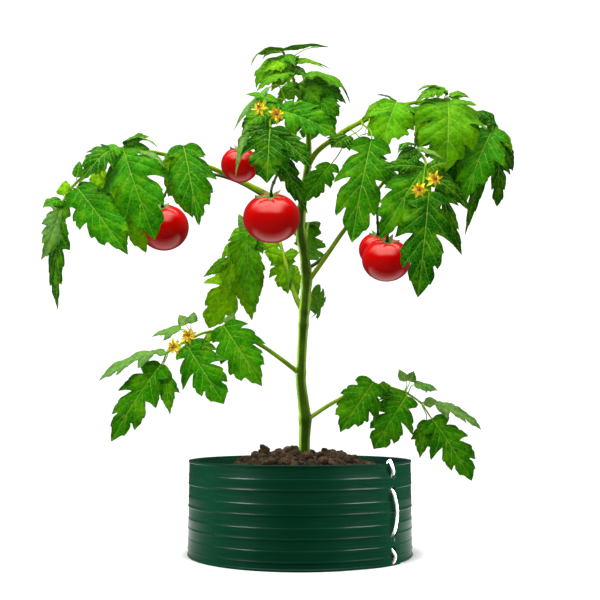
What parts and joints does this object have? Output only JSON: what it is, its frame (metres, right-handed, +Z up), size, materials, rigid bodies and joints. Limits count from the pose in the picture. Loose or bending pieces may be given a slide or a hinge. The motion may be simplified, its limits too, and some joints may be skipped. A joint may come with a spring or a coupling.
{
  "type": "tomato plant in raised bed",
  "caption": "Tomato plant with red fruit and yellow flowers, rooted in soil in a round raised bed of ribbed dark green plastic edging laced with white cord.",
  "frame": {"origin": "centre of the bed wall's ring, on the ground it stands on", "axes": "+Z up along the bed's axis, +X to the right and -Y to the front, where the cord's lacing and the flowers are"},
  "size_m": [0.6233, 0.3402, 0.6953],
  "materials": {
    "bed_plastic": "satin",
    "cord": "matte",
    "soil": "matte",
    "stem": "matte",
    "leaf": "satin",
    "truss": "matte",
    "fruit": "gloss",
    "petal": "matte",
    "anther": "matte"
  },
  "bodies": {
    "root": {"bed_wall": "bed_plastic", "lacing_cord": "cord", "soil": "soil", "main_stem": "stem", "leaf_upper_left": "leaf", "leaf_top": "leaf", "leaf_top_right": "leaf", "shoot_top_front": "leaf", "leaf_upper_right": "leaf", "shoot_right": "leaf", "shoot_lower_left": "leaf", "leaf_lower_right": "leaf", "leaf_mid_left": "leaf", "leaf_back": "leaf", "leaf_back_right": "leaf", "leaf_back_low": "leaf", "truss_centre": "truss", "truss_left": "truss", "truss_right": "truss", "fruit_1": "fruit", "fruit_2": "fruit", "fruit_3": "fruit", "fruit_4": "fruit", "fruit_5": "fruit", "petals_1": "petal", "cone_1": "anther", "petals_2": "petal", "cone_2": "anther", "petals_3": "petal", "cone_3": "anther", "petals_4": "petal", "cone_4": "anther", "petals_5": "petal", "cone_5": "anther", "petals_6": "petal", "cone_6": "anther"}
  },
  "joints": []
}
